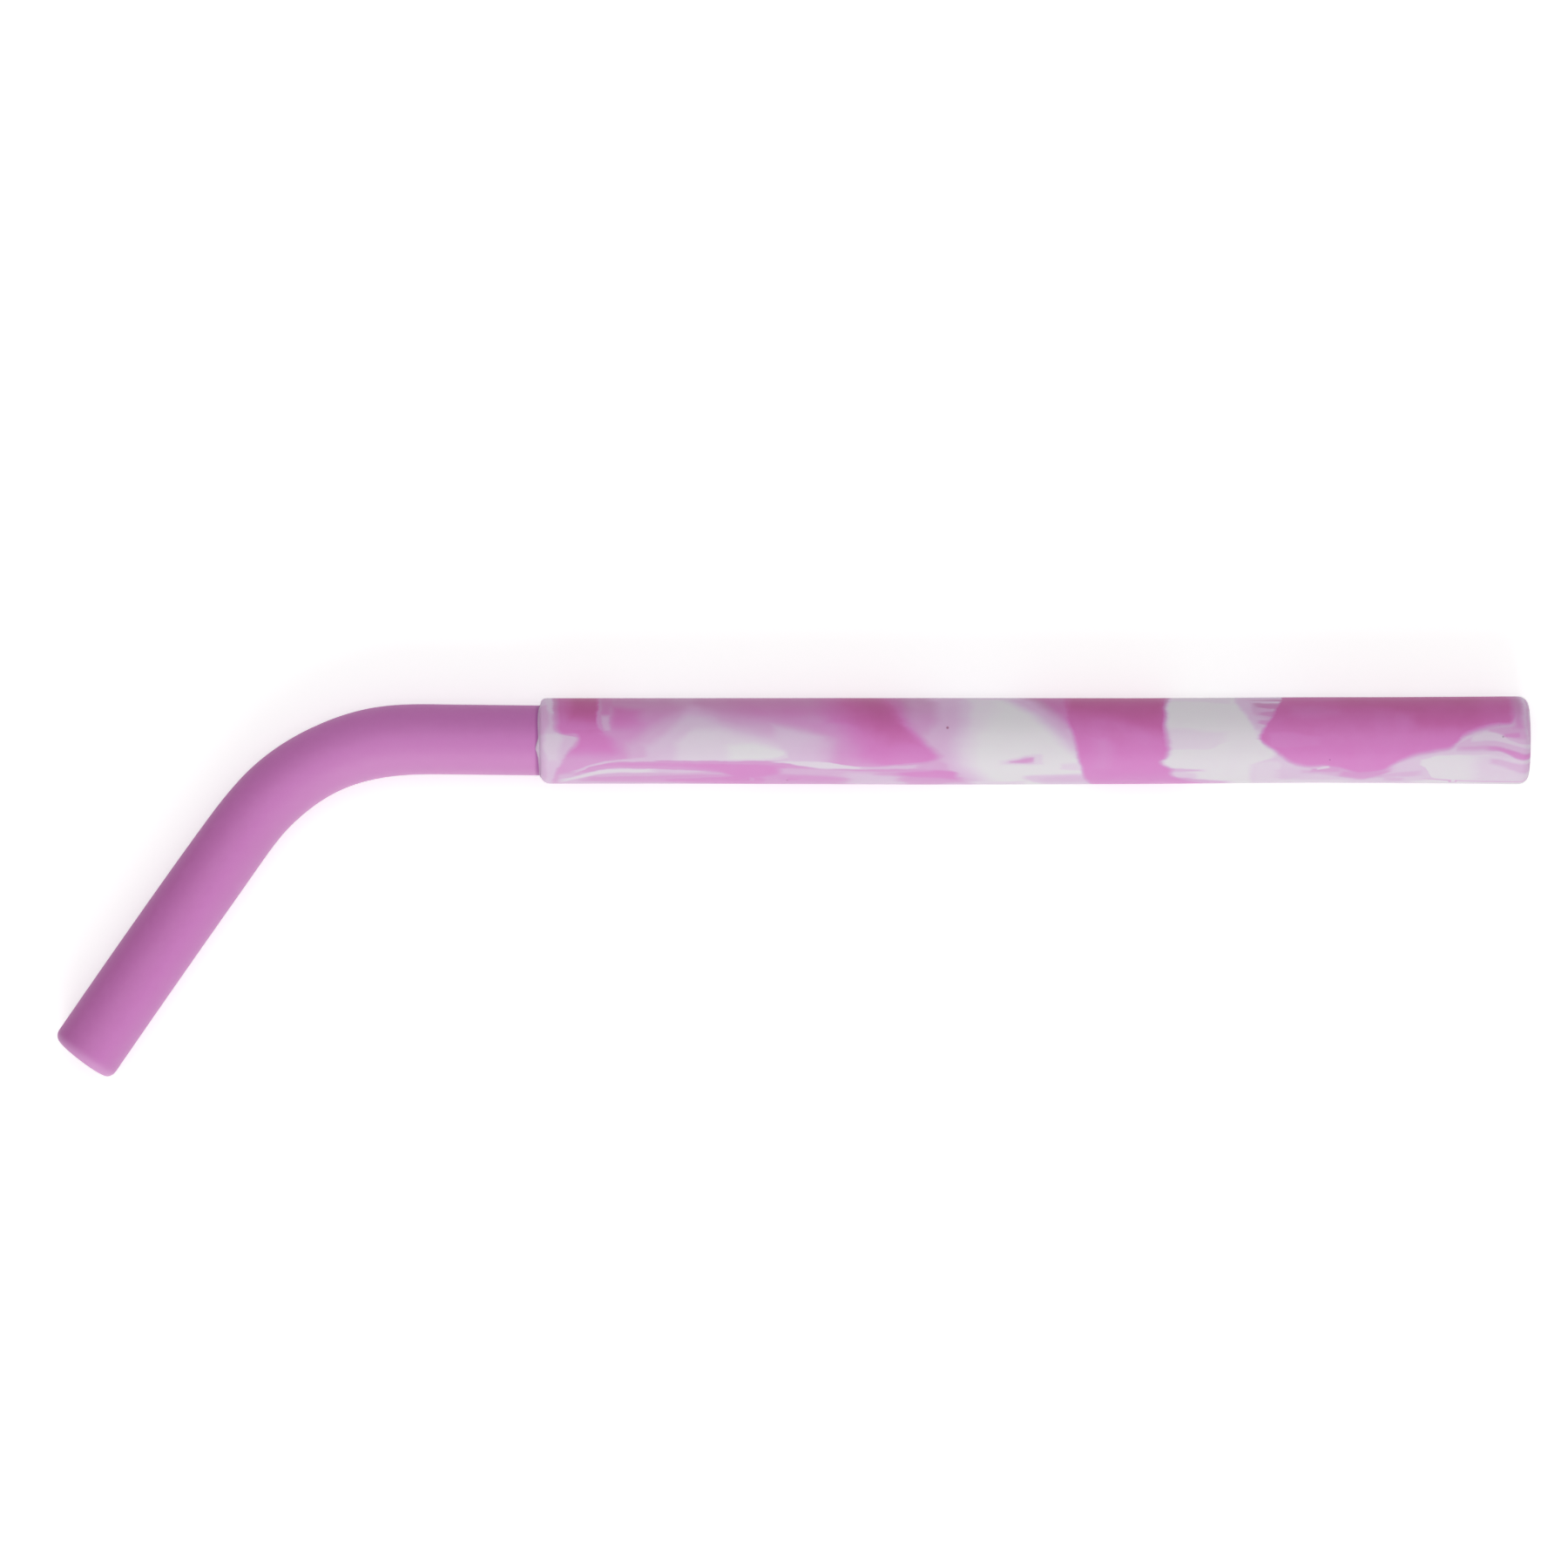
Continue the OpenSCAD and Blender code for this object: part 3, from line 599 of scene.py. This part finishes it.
def poured(name, patches, along, around, depth):
    """One pour of the marbling, as a node group: each patch in turn is mixed over the depth of
    pink that is there. How far inside its patch a point lies is the least of its distance past
    the from-edge and its distance short of the to-edge, each over that edge's softness, and of
    the fade at the patch's two ends. Curves hold both edges and the fade over the run from the
    patch's start, and the fade goes on flat a little past both ends."""
    pour = bpy.data.node_groups.new(name, "ShaderNodeTree")
    for socket in ("along", "around", "depth"):
        pour.interface.new_socket(socket, in_out="INPUT", socket_type="NodeSocketFloat")
    pour.interface.new_socket("depth", in_out="OUTPUT", socket_type="NodeSocketFloat")
    given = [Shade(pour).node("NodeGroupInput", {}, {}, i) for i in range(3)]
    ways = [shade.node("ShaderNodeCombineXYZ", {}, {0: shade, 1: shade, 2: shade}) for shade in given[:2]]
    laid = given[2]
    for way, level, edges, ends, points in patches:
        run, across = ways if way == "along" else ways[::-1]
        start, length = points[0][0], points[-1][0] - points[0][0]
        run = run.vector("SUBTRACT", (start, start, start))
        first, last = 0.0 if ends[0] else 1.0, 0.0 if ends[1] else 1.0
        fade = [(-0.04 * length, first), (0.0, first), (ends[0] + 0.01, 1.0),
                (length - ends[1] - 0.01, 1.0), (length, last), (1.04 * length, last)]
        bounds = run.node("ShaderNodeVectorCurve",
                          {"curves": [[(p[0] - start, -p[1] / edges[0]) for p in points],
                                      [(p[0] - start, p[2] / edges[1]) for p in points], fade]},
                          {"Vector": run})
        inside = bounds.node("ShaderNodeVectorMath", {"operation": "MULTIPLY_ADD"},
                             {0: across, 1: (1 / edges[0], -1 / edges[1], 0), 2: bounds}).parts()
        nearest = inside[0].math("MINIMUM", inside[0].math("MINIMUM", inside[0], inside[1]), inside[2])
        laid = nearest.node("ShaderNodeMix", {}, {"Factor": nearest.soft(), "A": laid, "B": level})
    pour.links.new(laid.socket, pour.nodes.new("NodeGroupOutput").inputs[0])
    return depth.node("ShaderNodeGroup", {"node_tree": pour},
                      {"along": along, "around": around, "depth": depth})


def marbling(place):
    """Depth of the pink on the sleeve, and how far round to the far side each place is, from 0
    to 1. The underside is poured first and the rest over it, and slow noise drawn out along the
    sleeve shifts the places, so that the edges waver and feather as silicone does. The depth is then
    painted deeper towards the far side, as painted shade, and paler towards the near one, as painted
    light, by 2.1% a mm times its square."""
    side = place.parts()
    drawn_out = place.vector("MULTIPLY", (0.35, 1.0, 1.0))
    elsewhere = drawn_out.vector("ADD", (0.3, 0.1, 0.7))
    near = side[1] * -1000 + END_FACE[1]
    high = side[2] * 1000 - END_FACE[2]
    along = side[0] * 1000 - END_FACE[0] + (drawn_out.cloud(600.0, 4.0, 0.6) - 0.5) * 1.1
    turned = (elsewhere.cloud(600.0, 3.0, 0.6) - 0.5) * 5.0
    around = near.math("ARCTAN2", near, high) * (180 / math.pi) + turned
    underneath = 180 - near.math("ARCTAN2", near, high * -1) * (180 / math.pi) + turned
    depth = along * 0 + 0.62
    for name, patches in MARBLE.items():
        depth = poured(name, patches, along, underneath if name == "underside" else around, depth)
    # painted shade on the far side and painted light on the near side: the depth grows and shrinks with
    # the side
    return depth * (1 - near * 0.021 * depth * depth), (0 - near).soft(2.0, 6.0)


# The half-mixed pink is painted darker and duller on the far side, as painted shade, and so is the deep
# pink, by less.
marbled_tube = closed_skin("marbled_tube", sleeve_skin())
shader, place = silicone(marbled_tube, "marbled_silicone")
depth, far = marbling(place)
cloudy = depth + (place.cloud(260.0, 3.0, 0.6) - 0.5) * 0.1
marble = cloudy.node("ShaderNodeValToRGB",
                     {"stops": [(0.0, (0.76, 0.73, 0.775)), (0.16, (0.745, 0.65, 0.765)),
                                (0.32, (0.715, 0.545, 0.73)), (0.48, (0.685, 0.408, 0.665)),
                                (0.64, (0.685, 0.325, 0.635)), (0.76, (0.687, 0.25, 0.595)),
                                (0.8, (0.68, 0.225, 0.57)), (0.88, (0.625, 0.165, 0.46)),
                                (1.0, (0.54, 0.125, 0.34))]},
                     {"Fac": cloudy * 0.8})
# painted shade: the marble is multiplied darker towards the far side
far_shade = far * cloudy.soft(0.45, 0.85) * (1 - cloudy.soft(0.95, 1.15) * 0.55)
far_shaded = marble.mixed(far_shade, (0.84, 0.88, 0.79), "MULTIPLY")
dusty = specked(far_shaded, place, [(137.65, 0.55, 6.25, 0.4, (0.25, 0.10, 0.24)),
                                (137.2, 2.15, 5.95, 0.25, (0.42, 0.18, 0.38)),
                                (58.3, 1.85, 5.95, 0.4, (0.42, 0.17, 0.30)),
                                (112.96, -2.75, 5.5, 0.25, (0.42, 0.12, 0.36)),
                                (35.4, -5.65, 2.6, 0.3, (0.5, 0.2, 0.42))])
shader.id_data.links.new(dusty.socket, shader.inputs["Base Color"])
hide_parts("marbled_sleeve")
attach(marbled_tube, "root")

# The table: a white sheet that runs out to a white room, with the straw's own soft shadow on
# it. Where it is looked at it glows up to white, and it lights nothing by that.
table_mesh = bpy.data.meshes.new("table")
table_mesh.from_pydata([(-3, -3, 0), (3, -3, 0), (3, 3, 0), (-3, 3, 0)], [], [(0, 1, 2, 3)])
table = bpy.data.objects.new("table", table_mesh)
bpy.context.scene.collection.objects.link(table)


def looked_at(shade):
    """1 for a ray from the camera, a gloss or a clear piece, and 0 for one that brings light."""
    rays = [shade.node("ShaderNodeLightPath", {}, {}, kind)
            for kind in ("Is Camera Ray", "Is Glossy Ray", "Is Transmission Ray")]
    return rays[0] + rays[1] + rays[2]


white = bpy.data.materials.new("white_table")
white.use_nodes = True
sheet = white.node_tree
shader = sheet.nodes["Principled BSDF"]
shader.inputs["Base Color"].default_value = (0.85, 0.85, 0.85, 1)
shader.inputs["Roughness"].default_value = 0.9
shader.inputs["Specular IOR Level"].default_value = 0.2
place = Shade(sheet).node("ShaderNodeTexCoord", {}, {}, "Object")
from_middle = place.node("ShaderNodeVectorMath", {"operation": "LENGTH"}, {0: place}, "Value")
strength = looked_at(place) * (from_middle.soft(0.25, 1.2) * 0.6 + 0.42)
glow = strength.node("ShaderNodeEmission", {}, {"Strength": strength})
both = glow.node("ShaderNodeAddShader", {}, {0: Shade(sheet, shader.outputs[0]), 1: glow})
sheet.links.new(both.socket, sheet.nodes["Material Output"].inputs["Surface"])
table.data.materials.append(white)

# The light: a room that looks white and lights the straw at about half of that, a wide soft
# lamp beside the straw's near side, and a softer one above.
room = bpy.data.worlds.new("white_room")
room.use_nodes = True
bpy.context.scene.world = room
background = room.node_tree.nodes["Background"]
background.inputs["Color"].default_value = (1, 1, 1, 1)
brightness = 0.48 + looked_at(Shade(room.node_tree)) * 0.52
room.node_tree.links.new(brightness.socket, background.inputs["Strength"])

for name, at, size, watts in [("near_light", (0.0, -0.9, 0.5), 0.7, 4.1),
                              ("top_light", (0.0, 0.2, 1.3), 0.9, 4.2)]:
    lamp = bpy.data.lights.new(name, "AREA")
    lamp.size, lamp.energy, lamp.color = size, watts, (1.0, 1.0, 0.97)
    holder = bpy.data.objects.new(name, lamp)
    holder.location = at
    away = np.array(at) / np.linalg.norm(at)
    holder.rotation_euler = (math.atan2(-away[1], away[2]), 0, 0)
    bpy.context.scene.collection.objects.link(holder)

bpy.context.scene.view_settings.view_transform = "Standard"
